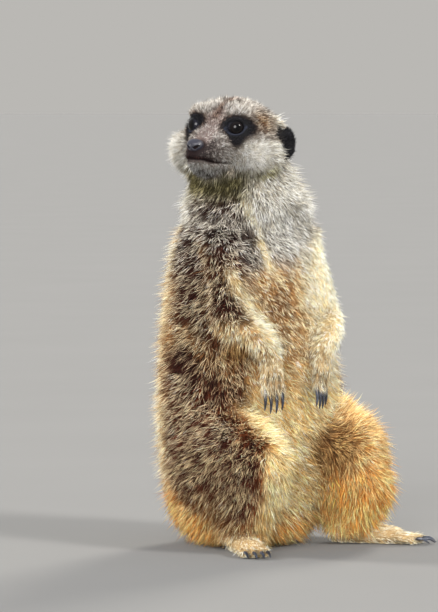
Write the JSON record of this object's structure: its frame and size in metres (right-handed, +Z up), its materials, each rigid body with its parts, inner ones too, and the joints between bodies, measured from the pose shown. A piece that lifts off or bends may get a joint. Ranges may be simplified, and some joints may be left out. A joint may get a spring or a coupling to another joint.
{
  "type": "meerkat",
  "caption": "Life-size still model of a meerkat sitting upright on its haunches, head turned to its right, arms hanging in front of its belly, tail laid on the floor.",
  "frame": {"origin": "middle of the flat that the rump sits on, at floor level", "axes": "+Z up, -Y the way the body faces, +X the animal's left side; the head is turned about 77 degrees to its right"},
  "size_m": [0.2162, 0.2171, 0.2787],
  "materials": {
    "grizzled_fur": "long coat of dark brown hairs with cream bands and tips",
    "golden_fur": "golden to orange coat of the legs, rump and tail",
    "cream_fur": "short cream coat of the arms and feet",
    "pale_head_fur": "short speckled grey and cream coat of the head and neck",
    "black_fur": "near black coat of the ears, eye patches and tail tip",
    "eye_gloss": "wet, glossy dark brown",
    "nose_skin": "fine grained damp dark grey skin",
    "claw_horn": "smooth blue black horn"
  },
  "bodies": {
    "root": {"trunk": "grizzled_fur", "neck": "pale_head_fur", "head": "pale_head_fur", "nose": "nose_skin", "eye_left": "eye_gloss", "ear_left": "black_fur", "upper_arm_left": "cream_fur", "forearm_left": "cream_fur", "hand_left": "cream_fur", "thigh_left": "golden_fur", "shank_left": "golden_fur", "foot_left": "cream_fur", "eye_right": "eye_gloss", "ear_right": "black_fur", "upper_arm_right": "cream_fur", "forearm_right": "cream_fur", "hand_right": "cream_fur", "thigh_right": "grizzled_fur", "shank_right": "golden_fur", "foot_right": "cream_fur", "tail_base": "golden_fur", "tail_middle": "golden_fur", "tail_tip": "black_fur", "claw_hand_left_1": "claw_horn", "claw_hand_left_2": "claw_horn", "claw_hand_left_3": "claw_horn", "claw_hand_left_4": "claw_horn", "claw_hand_right_1": "claw_horn", "claw_hand_right_2": "claw_horn", "claw_hand_right_3": "claw_horn", "claw_hand_right_4": "claw_horn", "claw_foot_left_1": "claw_horn", "claw_foot_left_2": "claw_horn", "claw_foot_left_3": "claw_horn", "claw_foot_left_4": "claw_horn", "claw_foot_right_1": "claw_horn", "claw_foot_right_2": "claw_horn", "claw_foot_right_3": "claw_horn", "claw_foot_right_4": "claw_horn"}
  },
  "joints": []
}
